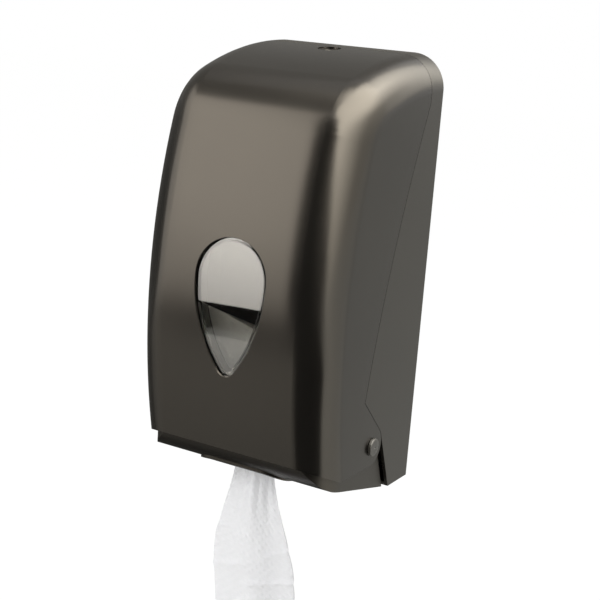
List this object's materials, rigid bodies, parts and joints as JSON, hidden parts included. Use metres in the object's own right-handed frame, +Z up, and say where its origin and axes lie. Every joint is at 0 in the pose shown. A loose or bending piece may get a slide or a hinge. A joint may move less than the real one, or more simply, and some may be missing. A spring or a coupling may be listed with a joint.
{
  "type": "paper towel dispenser",
  "caption": "Tall rounded wall dispenser for interleaved tissue sheets, with a hinged locking cover, a drop-shaped sight window and a lower outlet.",
  "frame": {"origin": "middle of the back face, at the centre of the four wall holes, on the wall plane", "axes": "+Y into the wall, so the front faces -Y; +X to the right seen from the front; +Z up"},
  "size_m": [0.1552, 0.135, 0.416],
  "materials": {
    "cover_plastic": "satin graphite moulding with a fine grain",
    "base_plastic": "satin graphite moulding",
    "tray_plastic": "satin graphite moulding",
    "window_plastic": "clear smoked acrylic, polished",
    "pin_plastic": "smooth graphite moulding",
    "lock_metal": "black plated zinc",
    "steel": "zinc plated",
    "tissue": "soft embossed tissue"
  },
  "bodies": {
    "base": {"rear_base": "base_plastic", "outlet_tray": "tray_plastic", "tray_screws": "steel", "hinge_pin_left": "pin_plastic", "hinge_pin_right": "pin_plastic", "pin_retainers": "steel", "paper_guide_left": "tray_plastic", "paper_guide_right": "tray_plastic", "guide_screws": "steel", "lock_strike": "steel", "strike_screws": "steel", "paper_stack": "tissue"},
    "cover": {"front_cover": "cover_plastic", "sight_window": "window_plastic", "lock_body": "lock_metal", "lock_nut": "steel"},
    "lock": {"lock_plug": "lock_metal", "lock_cam": "steel", "cam_washer": "steel", "cam_screw": "steel"},
    "sheet": {"hanging_sheet": "tissue"}
  },
  "joints": [
    {"name": "cover_hinge", "type": "hinge", "parent": "base", "child": "cover", "pos_m": [0, -0.0605, -0.112], "axis": [1, 0, 0], "range_deg": [0, 105], "deforming": ["hanging_sheet"]},
    {"name": "lock_turn", "type": "hinge", "parent": "cover", "child": "lock", "pos_m": [0, -0.028, 0.13], "axis": [0, 0, 1], "range_deg": [0, 90]},
    {"name": "sheet_pull", "type": "slide", "parent": "base", "child": "sheet", "axis": [0, 0, -1], "range_m": [0, 0.025]}
  ]
}
